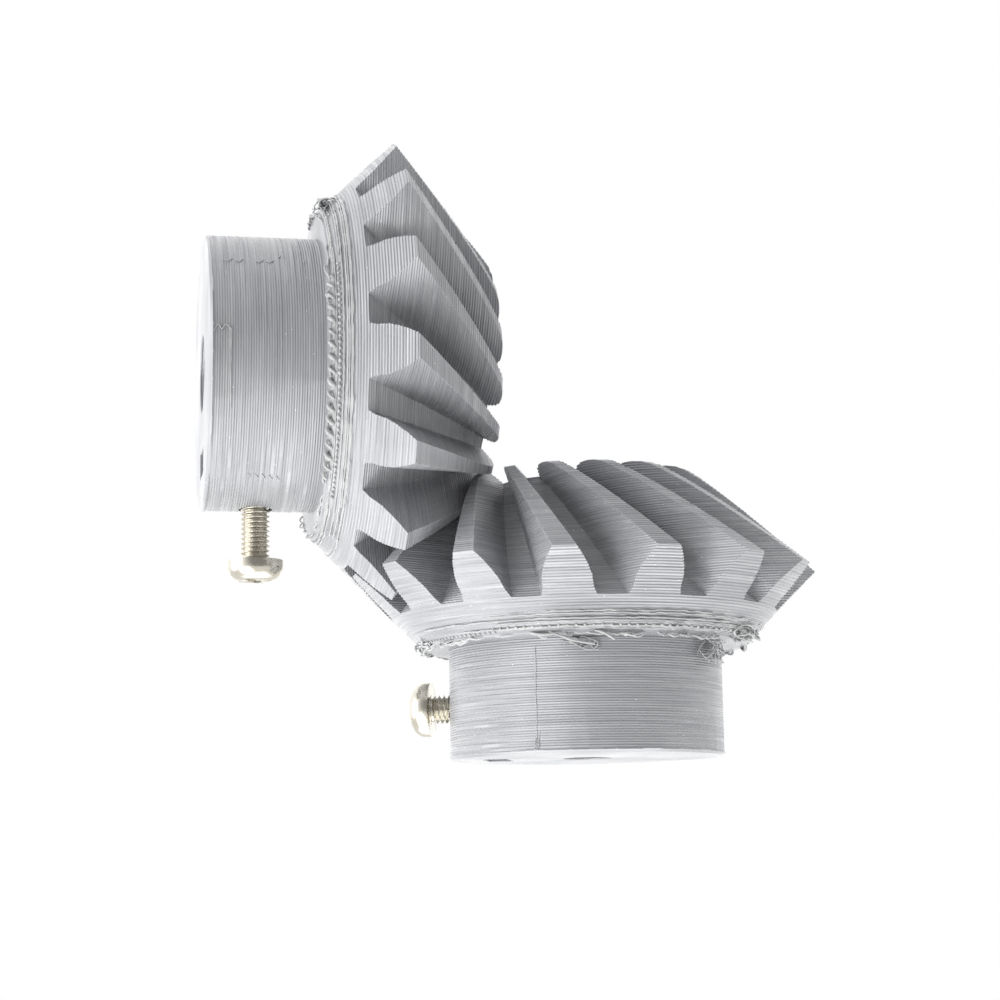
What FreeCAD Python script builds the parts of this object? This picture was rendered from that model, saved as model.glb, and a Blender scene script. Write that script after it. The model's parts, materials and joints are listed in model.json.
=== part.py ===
import FreeCAD, Part
import Sketcher
import math
import os
from FreeCAD import Placement, Rotation, Vector

# A pair of equal spiral bevel gears that turn a drive through a right angle, as printed for a
# 3-D printer's extruder.  Each gear is clamped to its shaft by a pan-head set screw that runs in
# a nut trapped in the hub.  Millimetres, +Z up.  The origin is the mouth of the upright (drive)
# gear's bore; the driven gear lies on its side with its hub towards -X.
#
# Gear frame: the pitch cone's apex is at the gear's origin, the hub points to -Z and the set
# screw to +X, so a point "reach" millimetres below the apex has z = -reach.

SIZES = {
    # toothing, the same on both gears but cut to opposite hands
    "tooth_count": 15,
    "pitch_diameter": 45,
    "pressure_angle": 20,
    "spiral_angle": 28,          # at the middle of the face
    "face_width": 17.3,
    "tooth_addendum": 2.4,
    "tooth_dedendum": 3.5,
    "tooth_thickness": 4.32,     # on the pitch circle, thinner than half a pitch for backlash
    "root_flare": 1.1,           # degrees by which a tooth widens at each side of its foot
    "toe_rounding": 2.4,         # of the teeth's small ends, between land and crown
    "mesh_turn": 0.6,            # degrees that the meshing tooth stands off the line of centres
    # blank
    "hub_diameter": 28.3,
    "hub_length": 11.3,
    "rim_width": 2.55,           # flat ring between the hub and the back cone
    "crown_rim": 3.3,            # from the pitch cone down the crown to its flat
    "hub_end_chamfer": 0.3,
    # bores: a shaft socket from the hub end, a narrower bore from the crown
    "drive_bore": 5,
    "driven_bore": 8,
    "bore_depth": 15.5,
    "drive_pin_diameter": 4,
    "driven_pin_diameter": 6,
    "pin_clearance": 0.08,
    "pin_recess": 0.5,
    "pin_end_gap": 0.5,
    "pin_chamfer": 0.4,
    # set screws, M3 x 12 pan head with a cross recess
    "screw_diameter": 3,
    "screw_length": 12,
    "head_diameter": 5.7,
    "head_height": 2.1,
    "head_rounding": 1.5,
    "tip_chamfer": 0.4,
    "cross_width": 0.9,
    "cross_length": 3.4,
    "cross_depth": 1.3,
    "screw_hole_clearance": 0.2,
    "screw_inset": 5.45,         # from the hub's end to the screw's axis
    "drive_screw_stand": 2.1,    # bare thread between the hub and the head, as it stands
    "driven_screw_stand": 5.2,
    "drive_screw_turn": 160,     # degrees from +X about the upright axis
    "cross_turn": 25,
    # nuts trapped in the hubs, M3
    "nut_flats": 5.5,
    "nut_thickness": 2.4,
    "nut_bore_clearance": 0.05,
    "nut_wall": 3.5,             # of the hub, outside the slot
    "nut_slot_clearance": 0.1,
    # how far a cutter runs past the surface that it cuts
    "cutter_overrun": 1,
    "toe_overrun": 0.6,
}

PITCH_CONE = math.radians(45)
ROOT2 = math.sqrt(2)

doc = FreeCAD.newDocument("bevel_gears")
sheet = doc.addObject("Spreadsheet::Sheet", "size")
for row, (alias, value) in enumerate(SIZES.items(), start=1):
    sheet.set("A%d" % row, alias)
    sheet.set("B%d" % row, str(value))
    sheet.setAlias("B%d" % row, alias)
doc.recompute()


def size(alias):
    return float(sheet.get(alias))


def worked_out(formula):
    return float(sheet.evalExpression(formula))


# where the pieces' faces lie, as formulas of the driving sizes; a reach is measured from the apex
OUTER_DISTANCE = "(size.pitch_diameter / sqrt(2))"
HEEL_TIP_RADIUS = "(size.pitch_diameter / 2 + size.tooth_addendum / sqrt(2))"
HEEL_TIP_REACH = "(size.pitch_diameter / 2 - size.tooth_addendum / sqrt(2))"
TOE_RATIO = "(1 - size.face_width / %s)" % OUTER_DISTANCE
CROWN_REACH = "(size.pitch_diameter / 2 * %s + size.crown_rim / sqrt(2))" % TOE_RATIO
CROWN_RADIUS = "(size.pitch_diameter / 2 * %s - size.crown_rim / sqrt(2))" % TOE_RATIO
BACK_FACE_REACH = "(size.pitch_diameter - size.hub_diameter / 2 - size.rim_width)"
HUB_END_REACH = "(%s + size.hub_length)" % BACK_FACE_REACH
SHOULDER_REACH = "(%s - size.bore_depth)" % HUB_END_REACH
SCREW_REACH = "(%s - size.screw_inset)" % HUB_END_REACH
NUT_MIDDLE = "(size.hub_diameter / 2 - size.nut_wall - size.nut_slot_clearance - size.nut_thickness / 2)"


# ---------------------------------------------------------------- helpers

def origin_plane(body, role):
    return next(plane for plane in body.Origin.OriginFeatures if plane.Role == role)


def polygon_sketch(body, name, role, corners, lift=None):
    """A closed polygon whose corners are pairs of expressions, tied to the sketch's origin."""
    sketch = body.newObject("Sketcher::SketchObject", name)
    sketch.AttachmentSupport = [(origin_plane(body, role), "")]
    sketch.MapMode = "FlatFace"
    if lift:
        sketch.setExpression("AttachmentOffset.Base.z", lift)
    count = len(corners)
    # rough places that keep the polygon the right way round until its constraints are solved
    rough = [Vector(math.cos(math.tau * i / count), math.sin(math.tau * i / count), 0)
             for i in range(count)]
    for i in range(count):
        sketch.addGeometry(Part.LineSegment(rough[i], rough[(i + 1) % count]), False)
    for i in range(count):
        sketch.addConstraint(Sketcher.Constraint("Coincident", i, 2, (i + 1) % count, 1))
    for i, (across, up) in enumerate(corners):
        for kind, formula in (("DistanceX", across), ("DistanceY", up)):
            place = rough[i].x if kind == "DistanceX" else rough[i].y
            index = sketch.addConstraint(Sketcher.Constraint(kind, -1, 1, i, 1, place))
            sketch.setExpression("Constraints[%d]" % index, formula)
    return sketch


def revolved_body(name, corners):
    """A turned piece: the polygon of (radius, height) expressions swept about the body's Z."""
    body = doc.addObject("PartDesign::Body", name)
    sketch = polygon_sketch(body, name + "_profile", "XZ_Plane", corners)
    turned = body.newObject("PartDesign::Revolution", name + "_turned")
    turned.Profile = sketch
    turned.ReferenceAxis = (sketch, ["V_Axis"])
    turned.Angle = 360
    body.Tip = turned
    doc.recompute()
    return body


def rounded(body, name, rim, radius):
    """Rounds one circular edge of the body's last feature."""
    turned = body.Tip
    number = 1 + [edge.isSame(rim) for edge in turned.Shape.Edges].index(True)
    rounding = body.newObject("PartDesign::Fillet", name)
    rounding.Base = (turned, ["Edge%d" % number])
    rounding.setExpression("Radius", radius)
    body.Tip = rounding
    doc.recompute()


def cut(name, base, tool):
    result = doc.addObject("Part::Cut", name)
    result.Base = base
    result.Tool = tool
    return result


# ---------------------------------------------------------------- tooth form

CLEAR_OF_TIP = math.radians(3)   # the gap's section ends this far outside the tip cone
SECTIONS = 9                     # of the gap, from toe to heel
FLANK_POINTS = 7                 # of each section's involute
FOOT_POINTS = 3                  # and of the flared foot below it
PLACE_ROUNDS = 6                 # of settling a point onto its section's plane

def involute_angle(cone, base_cone):
    """Polar angle of a spherical involute at a cone angle, from where it leaves its base cone."""
    if cone <= base_cone:
        return 0.0
    unwound = math.acos(math.cos(cone) / math.cos(base_cone)) / math.sin(base_cone)
    return unwound - math.acos(math.tan(base_cone) / math.tan(cone))


def spiral_turn(distance, outer_distance, spiral_offset):
    """Turn of a tooth at a cone distance, against its heel; a straight line on the crown gear."""
    lean = math.asin(spiral_offset / distance) - math.asin(spiral_offset / outer_distance)
    return lean / math.sin(PITCH_CONE)


def tooth_gap(azimuth, hand):
    """The solid that a cutter takes out between two teeth, a little longer than the face."""
    teeth = size("tooth_count")
    pitch_radius = size("pitch_diameter") / 2
    outer_distance = worked_out(OUTER_DISTANCE)
    mean_distance = outer_distance - size("face_width") / 2
    spiral_offset = mean_distance * math.sin(math.radians(size("spiral_angle")))
    base_cone = math.asin(math.sin(PITCH_CONE) * math.cos(math.radians(size("pressure_angle"))))
    root_cone = PITCH_CONE - math.atan(size("tooth_dedendum") / outer_distance)
    tip_cone = PITCH_CONE + math.atan(size("tooth_addendum") / outer_distance)
    outside_cone = tip_cone + CLEAR_OF_TIP
    pitch_half_tooth = size("tooth_thickness") / (2 * pitch_radius)
    foot_half_tooth = pitch_half_tooth + involute_angle(PITCH_CONE, base_cone)
    flare = math.radians(size("root_flare"))

    def half_gap(cone):
        half = math.pi / teeth - (foot_half_tooth - involute_angle(cone, base_cone))
        if cone < base_cone:
            half -= flare * ((base_cone - cone) / (base_cone - root_cone)) ** 2
        return half

    def point(cone, side, plane_sum, middle_turn):
        """Where the flank meets the plane that touches the back cone along the gap's middle."""
        across = side * half_gap(cone)
        distance = plane_sum / (math.sin(cone) * math.cos(across) + math.cos(cone))
        for _ in range(PLACE_ROUNDS):
            turn = hand * spiral_turn(distance, outer_distance, spiral_offset) - middle_turn
            across = side * half_gap(cone) + turn
            distance = plane_sum / (math.sin(cone) * math.cos(across) + math.cos(cone))
        polar = azimuth + middle_turn + across
        radius = distance * math.sin(cone)
        return Vector(radius * math.cos(polar), radius * math.sin(polar),
                      -distance * math.cos(cone))

    def section(distance):
        plane_sum = distance * ROOT2
        middle_turn = hand * spiral_turn(distance, outer_distance, spiral_offset)
        foot = [root_cone + (base_cone - root_cone) * i / FOOT_POINTS for i in range(FOOT_POINTS)]
        flank = [base_cone + (outside_cone - base_cone) * i / (FLANK_POINTS - 1)
                 for i in range(FLANK_POINTS)]
        edges = []
        ends = []
        for side in (-1, 1):
            curve = Part.BSplineCurve()
            curve.interpolate([point(cone, side, plane_sum, middle_turn)
                               for cone in foot + flank])
            edges.append(curve.toShape())
            ends.append((curve.StartPoint, curve.EndPoint))
        root = Part.makeLine(ends[0][0], ends[1][0])
        outside = Part.makeLine(ends[1][1], ends[0][1])
        return Part.Wire([edges[0], root, edges[1], outside])

    first = outer_distance - size("face_width") - size("toe_overrun")
    last = outer_distance + size("cutter_overrun")
    step = (last - first) / (SECTIONS - 1)
    return Part.makeLoft([section(first + step * i) for i in range(SECTIONS)], True, False)


# ---------------------------------------------------------------- gears

def gear_blank(name, bore):
    bore_radius = "size.%s_bore / 2" % bore
    pin_bore_radius = "(size.%s_pin_diameter / 2 + size.pin_clearance)" % bore
    body = revolved_body(name, [
        (bore_radius, "-" + HUB_END_REACH),
        ("size.hub_diameter / 2 - size.hub_end_chamfer", "-" + HUB_END_REACH),
        ("size.hub_diameter / 2", "-%s + size.hub_end_chamfer" % HUB_END_REACH),
        ("size.hub_diameter / 2", "-" + BACK_FACE_REACH),
        ("size.hub_diameter / 2 + size.rim_width", "-" + BACK_FACE_REACH),
        (HEEL_TIP_RADIUS, "-" + HEEL_TIP_REACH),
        (HEEL_TIP_RADIUS + " * " + TOE_RATIO, "-" + HEEL_TIP_REACH + " * " + TOE_RATIO),
        (CROWN_RADIUS, "-" + CROWN_REACH),
        (pin_bore_radius, "-" + CROWN_REACH),
        (pin_bore_radius, "-" + SHOULDER_REACH),
        (bore_radius, "-" + SHOULDER_REACH),
    ])
    toe = max((edge for edge in body.Tip.Shape.Edges if edge.Closed),
              key=lambda edge: edge.CenterOfMass.z)
    rounded(body, name + "_toe_rounding", toe, "size.toe_rounding")
    return body


def tooth_gaps(name, first_azimuth, hand):
    teeth = int(size("tooth_count"))
    gap = tooth_gap(math.radians(first_azimuth), hand)
    gaps = []
    for i in range(teeth):
        turned = gap.copy()
        turned.rotate(Vector(0, 0, 0), Vector(0, 0, 1), 360 / teeth * i)
        gaps.append(turned)
    feature = doc.addObject("Part::Feature", name)
    feature.Shape = Part.makeCompound(gaps)
    return feature


def screw_hole(name):
    """Radial clearance hole for the set screw, from the bore out through the hub."""
    hole = doc.addObject("Part::Cylinder", name)
    hole.Placement = Placement(Vector(0, 0, 0), Rotation(Vector(0, 1, 0), 90))
    hole.setExpression("Placement.Base.z", "-" + SCREW_REACH)
    hole.setExpression("Radius", "size.screw_diameter / 2 + size.screw_hole_clearance")
    hole.setExpression("Height", "size.hub_diameter / 2 + size.cutter_overrun")
    return hole


def nut_slot(name):
    """Slot for the nut, open at the hub's end."""
    slot = doc.addObject("Part::Box", name)
    corner = "(size.nut_flats / sqrt(3) + size.nut_slot_clearance)"
    slot.setExpression("Length", "size.nut_thickness + 2 * size.nut_slot_clearance")
    slot.setExpression("Width", "size.nut_flats + 2 * size.nut_slot_clearance")
    slot.setExpression("Height", "size.cutter_overrun + size.screw_inset + " + corner)
    slot.setExpression("Placement.Base.x",
                       NUT_MIDDLE + " - size.nut_thickness / 2 - size.nut_slot_clearance")
    slot.setExpression("Placement.Base.y", "-size.nut_flats / 2 - size.nut_slot_clearance")
    slot.setExpression("Placement.Base.z", "-%s - size.cutter_overrun" % HUB_END_REACH)
    return slot


def gear(name, bore, first_gap, hand):
    hole_and_slot = doc.addObject("Part::MultiFuse", name + "_clamp_cut")
    hole_and_slot.Shapes = [screw_hole(name + "_screw_hole"), nut_slot(name + "_nut_slot")]
    toothed = cut(name + "_toothed", gear_blank(name + "_blank", bore),
                  tooth_gaps(name + "_gaps", first_gap, hand))
    finished = cut(name, toothed, hole_and_slot)
    return finished


# ---------------------------------------------------------------- small pieces

def set_screw(name):
    """Origin under the head, thread towards -Z; the head's top edge is rounded."""
    body = revolved_body(name, [
        ("0", "-size.screw_length"),
        ("size.screw_diameter / 2 - size.tip_chamfer", "-size.screw_length"),
        ("size.screw_diameter / 2", "-size.screw_length + size.tip_chamfer"),
        ("size.screw_diameter / 2", "0"),
        ("size.head_diameter / 2", "0"),
        ("size.head_diameter / 2", "size.head_height"),
        ("0", "size.head_height"),
    ])
    rim = max((edge for edge in body.Tip.Shape.Edges if edge.Closed),
              key=lambda edge: edge.CenterOfMass.z + edge.Length)
    rounded(body, name + "_rounding", rim, "size.head_rounding")
    for arm, (length, width) in enumerate((("cross_length", "cross_width"),
                                           ("cross_width", "cross_length"))):
        across, up = "size.%s / 2" % length, "size.%s / 2" % width
        sketch = polygon_sketch(body, "%s_arm_%d" % (name, arm), "XY_Plane", [
            (across, up), ("-" + across, up), ("-" + across, "-" + up), (across, "-" + up),
        ], lift="size.head_height")
        before = body.Tip.Shape.Volume
        slot = body.newObject("PartDesign::Pocket", "%s_cross_%d" % (name, arm))
        slot.Profile = sketch
        slot.setExpression("Length", "size.cross_depth")
        doc.recompute()
        if not slot.Shape.Volume < before:
            raise RuntimeError("the cross recess of %s cuts nothing" % name)
    return body


def captive_nut(name):
    """Hexagon nut about Z, its middle at the origin, two corners along X."""
    hexagon = doc.addObject("Part::Prism", name + "_hexagon")
    hexagon.Polygon = 6
    hexagon.setExpression("Circumradius", "size.nut_flats / sqrt(3)")
    hexagon.setExpression("Height", "size.nut_thickness")
    hexagon.setExpression("Placement.Base.z", "-size.nut_thickness / 2")
    thread = doc.addObject("Part::Cylinder", name + "_thread")
    thread.setExpression("Radius", "size.screw_diameter / 2 + size.nut_bore_clearance")
    thread.setExpression("Height", "2 * size.nut_thickness")
    thread.setExpression("Placement.Base.z", "-size.nut_thickness")
    return cut(name, hexagon, thread)


def centre_pin(name, bore):
    """Plain steel pin in the crown end of a gear's bore, drawn in the gear's frame."""
    top = "-%s - size.pin_recess" % CROWN_REACH
    bottom = "-%s + size.pin_end_gap" % SHOULDER_REACH
    radius = "size.%s_pin_diameter / 2" % bore
    return revolved_body(name, [
        ("0", bottom),
        (radius + " - size.pin_chamfer", bottom),
        (radius, bottom + " + size.pin_chamfer"),
        (radius, top + " - size.pin_chamfer"),
        (radius + " - size.pin_chamfer", top),
        ("0", top),
    ])


# ---------------------------------------------------------------- the assembly

APEX = Vector(0, 0, worked_out(HUB_END_REACH))
DRIVE_FRAME = Placement(APEX, Rotation(Vector(0, 0, 1), size("drive_screw_turn")))
DRIVEN_FRAME = Placement(APEX, Rotation(Vector(0, 1, 0), 90))
PITCH_ANGLE = 360 / size("tooth_count")

pieces = {}
# the drive gear has a tooth at the mesh, which lies to its -X side, and the driven gear a gap
pieces["drive_gear"] = gear(
    "drive_gear", "drive",
    180 - size("drive_screw_turn") + size("mesh_turn") + PITCH_ANGLE / 2, -1)
pieces["driven_gear"] = gear("driven_gear", "driven", -size("mesh_turn"), 1)

for side, frame in (("drive", DRIVE_FRAME), ("driven", DRIVEN_FRAME)):
    pieces[side + "_gear"].Placement = frame
    pieces[side + "_centre_pin"] = centre_pin(side + "_centre_pin", side)
    pieces[side + "_centre_pin"].Placement = frame
    head_seat = size("hub_diameter") / 2 + size(side + "_screw_stand")
    pieces[side + "_set_screw"] = set_screw(side + "_set_screw")
    pieces[side + "_set_screw"].Placement = frame * Placement(
        Vector(head_seat, 0, -worked_out(SCREW_REACH)),
        Rotation(Vector(0, 1, 0), 90) * Rotation(Vector(0, 0, 1), size("cross_turn")))
    pieces[side + "_nut"] = captive_nut(side + "_nut")
    pieces[side + "_nut"].Placement = frame * Placement(
        Vector(worked_out(NUT_MIDDLE), 0, -worked_out(SCREW_REACH)), Rotation(Vector(0, 1, 0), 90))

doc.recompute()

for item in doc.Objects:
    if "Invalid" in item.State or "Error" in item.State:
        raise RuntimeError("%s failed to recompute" % item.Name)
for name, piece in pieces.items():
    piece.Label = name
    shape = piece.Shape
    if shape.isNull() or not shape.isValid() or len(shape.Solids) != 1:
        raise RuntimeError("%s is not one valid solid" % name)

os.makedirs("parts", exist_ok=True)
for name, piece in pieces.items():
    piece.Shape.exportStep("parts/%s.step" % name)
    box = piece.Shape.BoundBox
    print("%-18s volume %9.1f  x %6.1f..%6.1f  y %6.1f..%6.1f  z %6.1f..%6.1f" % (
        name, piece.Shape.Volume, box.XMin, box.XMax, box.YMin, box.YMax, box.ZMin, box.ZMax))
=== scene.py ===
import json
import math
import bmesh
import bpy
import numpy as np
from mathutils import Matrix, Vector


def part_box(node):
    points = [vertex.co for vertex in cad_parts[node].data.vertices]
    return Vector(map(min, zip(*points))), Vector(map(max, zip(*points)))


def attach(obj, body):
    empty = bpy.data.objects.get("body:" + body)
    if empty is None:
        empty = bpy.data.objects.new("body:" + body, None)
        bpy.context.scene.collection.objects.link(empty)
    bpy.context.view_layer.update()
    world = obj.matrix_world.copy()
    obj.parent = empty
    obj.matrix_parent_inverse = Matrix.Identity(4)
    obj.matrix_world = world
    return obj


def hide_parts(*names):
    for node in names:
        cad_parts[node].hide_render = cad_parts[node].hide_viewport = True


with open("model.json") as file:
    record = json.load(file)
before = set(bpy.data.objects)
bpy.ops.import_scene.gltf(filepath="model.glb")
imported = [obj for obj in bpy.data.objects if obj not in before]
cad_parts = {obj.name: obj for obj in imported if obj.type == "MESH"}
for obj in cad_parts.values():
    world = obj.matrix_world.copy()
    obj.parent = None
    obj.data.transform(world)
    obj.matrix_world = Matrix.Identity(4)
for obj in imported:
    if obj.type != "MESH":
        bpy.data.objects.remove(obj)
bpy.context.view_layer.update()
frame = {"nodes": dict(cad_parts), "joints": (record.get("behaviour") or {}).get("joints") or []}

mm = 0.001                                   # the frame is in metres, most sizes below are in millimetres
weld = 0.001 * mm                            # points closer than this are one point
tiny = 1e-9                                  # keeps a division away from zero
noiseLow, noiseHigh = 0.3, 0.7               # a noise texture seldom leaves this range
wavePeriod = math.tau / 20                   # the length that a wave texture of scale 1 repeats over
nodes = frame["nodes"]

# where the gears stand, read from the frame: the shafts' axes cross at the apex
jointAt = {joint["name"]: joint for joint in frame["joints"]}
apex = Vector(jointAt["drive_spin"]["pos_m"])
drivenEnd = Vector((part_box("driven_gear")[0].x, apex.y, apex.z))
gears = {                                    # from the hub's end towards the teeth, and where 0 degrees is
    "drive_gear": {"end": Vector((0, 0, 0)), "along": Vector((0, 0, 1)),
                   "zero": Vector((1, 0, 0)), "quarter": Vector((0, 1, 0))},
    "driven_gear": {"end": drivenEnd, "along": Vector((1, 0, 0)),
                    "zero": Vector((0, -1, 0)), "quarter": Vector((0, 0, -1))},
}


# a point by degrees about the shaft, mm from the hub's end and mm from the axis
def aroundGear(gear, angle, reach, radius):
    turned = math.radians(angle)
    sideways = gears[gear]["zero"] * math.cos(turned) + gears[gear]["quarter"] * math.sin(turned)
    return gears[gear]["end"] + (gears[gear]["along"] * reach + sideways * radius) * mm


print("frame read")


def linear(hexColour):                       # sRGB hex to the linear colour that sockets take
    channels = [int(hexColour[i:i + 2], 16) / 255 for i in (1, 3, 5)]
    return tuple(c / 12.92 if c <= 0.04045 else ((c + 0.055) / 1.055) ** 2.4 for c in channels) + (1,)


def addNode(tree, kind, settings=None, **links):
    node = tree.nodes.new(kind)
    for key, value in (settings or {}).items():
        setattr(node, key, value)
    for name, value in links.items():        # i0, i1 pick a socket by its place, other names by its label
        numbered = name[0] == "i" and name[1:].isdigit()
        socket = node.inputs[int(name[1:])] if numbered else node.inputs[name.replace("_", " ")]
        if isinstance(value, bpy.types.NodeSocket):
            tree.links.new(value, socket)
        else:
            socket.default_value = value
    return node


def newMaterial(name):
    material = bpy.data.materials.new(name)
    material.use_nodes = True
    return material, material.node_tree, material.node_tree.nodes["Principled BSDF"]


plastic = {"pale": "#b2b3b6", "deep": "#909195", "metallic": 0.22, "ior": 1.5, "glossy": 0.27, "dull": 0.43,
           "layerMm": 0.25, "beadMm": 11.0, "streakGain": 1.6, "streakOffset": -0.55,
           "mottleMm": 5.0, "mottleGain": 0.5,
           "glint": "#f4f4f2", "glintEveryMm": 1.1, "glintFrom": 0.03, "glintTo": 0.06,      # painted glints, in parts of 1.1 mm
           "roadMm": 0.45, "roadTurn": math.radians(45), "roadWander": 0.4, "roadHeight": 1.5,
           "flatFrom": 0.93, "flatTo": 0.98,       # a face this square to the shaft shows its roads
           "grainMm": 0.35, "bumpStrength": 0.4, "bumpMm": 0.02}
strings = {"pale": "#c6c7c7", "deep": "#9a9b9d", "cloudMm": 1.5, "roughness": 0.3}


# silk PLA off a nozzle: its pearl filler reflects like weak metal, and every layer has its own sheen; each
# layer's colour is also lighter or darker, partly its own tone and partly painted shade and sheen of the
# layer lines
def printedPlastic(name, along):
    material, tree, shader = newMaterial(name)
    place = addNode(tree, "ShaderNodeTexCoord").outputs["Object"]
    perLayer, perBead = 1 / (plastic["layerMm"] * mm), 1 / (plastic["beadMm"] * mm)
    stretch = addNode(tree, "ShaderNodeMapping", Vector=place,
                      Scale=[perBead + (perLayer - perBead) * abs(part) for part in along])
    streak = addNode(tree, "ShaderNodeTexNoise", Vector=stretch.outputs["Vector"], Scale=1.0, Detail=1.0)
    mottle = addNode(tree, "ShaderNodeTexNoise", Vector=place, Detail=4.0,
                     Scale=1 / (plastic["mottleMm"] * mm))
    # the layer streaks in the colour are partly each layer's own tone, partly painted shade of the layer
    # lines
    both = addNode(tree, "ShaderNodeMath", {"operation": "MULTIPLY_ADD"},
                   i0=streak.outputs["Fac"], i1=plastic["streakGain"], i2=plastic["streakOffset"])
    shade = addNode(tree, "ShaderNodeMath", {"operation": "MULTIPLY_ADD", "use_clamp": True},
                    i0=mottle.outputs["Fac"], i1=plastic["mottleGain"], i2=both.outputs[0])
    colour = addNode(tree, "ShaderNodeMix", {"data_type": "RGBA"}, i0=shade.outputs[0],
                     i6=linear(plastic["deep"]), i7=linear(plastic["pale"]))
    # painted glints: small white specks laid into the colour where points of light catch
    glintCells = addNode(tree, "ShaderNodeTexVoronoi", Vector=place, Scale=1 / (plastic["glintEveryMm"] * mm))
    near = addNode(tree, "ShaderNodeMapRange", i0=glintCells.outputs["Distance"], i1=plastic["glintFrom"],
                   i2=plastic["glintTo"], i3=1.0, i4=0.0)
    glinted = addNode(tree, "ShaderNodeMix", {"data_type": "RGBA"}, i0=near.outputs[0],
                    i6=colour.outputs[2], i7=linear(plastic["glint"]))
    gloss = addNode(tree, "ShaderNodeMapRange", i0=shade.outputs[0],
                    i3=plastic["dull"], i4=plastic["glossy"])
    grain = addNode(tree, "ShaderNodeTexNoise", Vector=place, Detail=4.0,
                    Scale=1 / (plastic["grainMm"] * mm))
    slant = addNode(tree, "ShaderNodeMapping", Vector=place,
                    Rotation=[plastic["roadTurn"] * abs(part) for part in along])
    roads = addNode(tree, "ShaderNodeTexWave", {"bands_direction": "Y"}, Vector=slant.outputs["Vector"],
                    Scale=wavePeriod / (plastic["roadMm"] * mm), Distortion=plastic["roadWander"])
    facing = addNode(tree, "ShaderNodeVectorMath", {"operation": "DOT_PRODUCT"}, i1=along,
                     i0=addNode(tree, "ShaderNodeNewGeometry").outputs["Normal"])
    level = addNode(tree, "ShaderNodeMath", {"operation": "ABSOLUTE"}, i0=facing.outputs["Value"])
    flat = addNode(tree, "ShaderNodeMapRange", i0=level.outputs[0],
                   i1=plastic["flatFrom"], i2=plastic["flatTo"])
    lines = addNode(tree, "ShaderNodeMath", {"operation": "MULTIPLY"},
                    i0=roads.outputs["Fac"], i1=flat.outputs[0])
    relief = addNode(tree, "ShaderNodeMath", {"operation": "MULTIPLY_ADD"},
                     i0=lines.outputs[0], i1=plastic["roadHeight"], i2=grain.outputs["Fac"])
    bump = addNode(tree, "ShaderNodeBump", Height=relief.outputs[0], Strength=plastic["bumpStrength"],
                   Distance=plastic["bumpMm"] * mm)
    tree.links.new(glinted.outputs[2], shader.inputs["Base Color"])
    tree.links.new(gloss.outputs[0], shader.inputs["Roughness"])
    tree.links.new(bump.outputs["Normal"], shader.inputs["Normal"])
    shader.inputs["Metallic"].default_value = plastic["metallic"]
    shader.inputs["IOR"].default_value = plastic["ior"]
    return material


steel = {                                    # grainMm is how far a cloud or a mark reaches along x, y and z
    "nickel": {"name": "nickelPlatedSteelRolled", "pale": "#dcd8cd", "deep": "#b8b3a6",
               "grainMm": (0.6, 0.6, 0.6), "glossy": 0.12, "dull": 0.3, "bumpMm": 0.004},
    "zinc": {"name": "zincPlatedSteelPressed", "pale": "#cfd2d6", "deep": "#9b9fa5",
             "grainMm": (0.9, 0.9, 0.9), "glossy": 0.24, "dull": 0.45, "bumpMm": 0.006},
    "pinAlongZ": {"name": "groundSteelUpright", "pale": "#c2c4c7", "deep": "#8f9296",
                  "grainMm": (3, 3, 0.12), "glossy": 0.15, "dull": 0.34, "bumpMm": 0.003},
    "pinAlongX": {"name": "groundSteelLevel", "pale": "#c2c4c7", "deep": "#8f9296",
                  "grainMm": (0.12, 3, 3), "glossy": 0.15, "dull": 0.34, "bumpMm": 0.003},
}


# nickel is a warm bright plating, a little uneven; zinc is bluish and cloudy
# the pins are ground, which leaves fine bright rings round them
def steelFinish(key):
    finish = steel[key]
    material, tree, shader = newMaterial(finish["name"])
    place = addNode(tree, "ShaderNodeTexCoord").outputs["Object"]
    stretch = addNode(tree, "ShaderNodeMapping", Vector=place,
                      Scale=[1 / (size * mm) for size in finish["grainMm"]])
    cloud = addNode(tree, "ShaderNodeTexNoise", Vector=stretch.outputs["Vector"], Scale=1.0, Detail=5.0)
    colour = addNode(tree, "ShaderNodeMix", {"data_type": "RGBA"}, i0=cloud.outputs["Fac"],
                     i6=linear(finish["deep"]), i7=linear(finish["pale"]))
    gloss = addNode(tree, "ShaderNodeMapRange", i0=cloud.outputs["Fac"], i1=noiseLow, i2=noiseHigh,
                    i3=finish["dull"], i4=finish["glossy"])
    bump = addNode(tree, "ShaderNodeBump", Height=cloud.outputs["Fac"], Strength=0.5,
                   Distance=finish["bumpMm"] * mm)
    tree.links.new(colour.outputs[2], shader.inputs["Base Color"])
    tree.links.new(gloss.outputs[0], shader.inputs["Roughness"])
    tree.links.new(bump.outputs["Normal"], shader.inputs["Normal"])
    shader.inputs["Metallic"].default_value = 1.0
    return material


# PLA drawn out thin turns whitish, clouds over and shines
def drawnFilament():
    material, tree, shader = newMaterial("drawnPlaStrings")
    place = addNode(tree, "ShaderNodeTexCoord").outputs["Object"]
    cloud = addNode(tree, "ShaderNodeTexNoise", Vector=place, Detail=3.0,
                    Scale=1 / (strings["cloudMm"] * mm))
    colour = addNode(tree, "ShaderNodeMix", {"data_type": "RGBA"}, i0=cloud.outputs["Fac"],
                     i6=linear(strings["deep"]), i7=linear(strings["pale"]))
    tree.links.new(colour.outputs[2], shader.inputs["Base Color"])
    shader.inputs["Roughness"].default_value = strings["roughness"]
    shader.inputs["IOR"].default_value = plastic["ior"]
    return material


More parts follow.
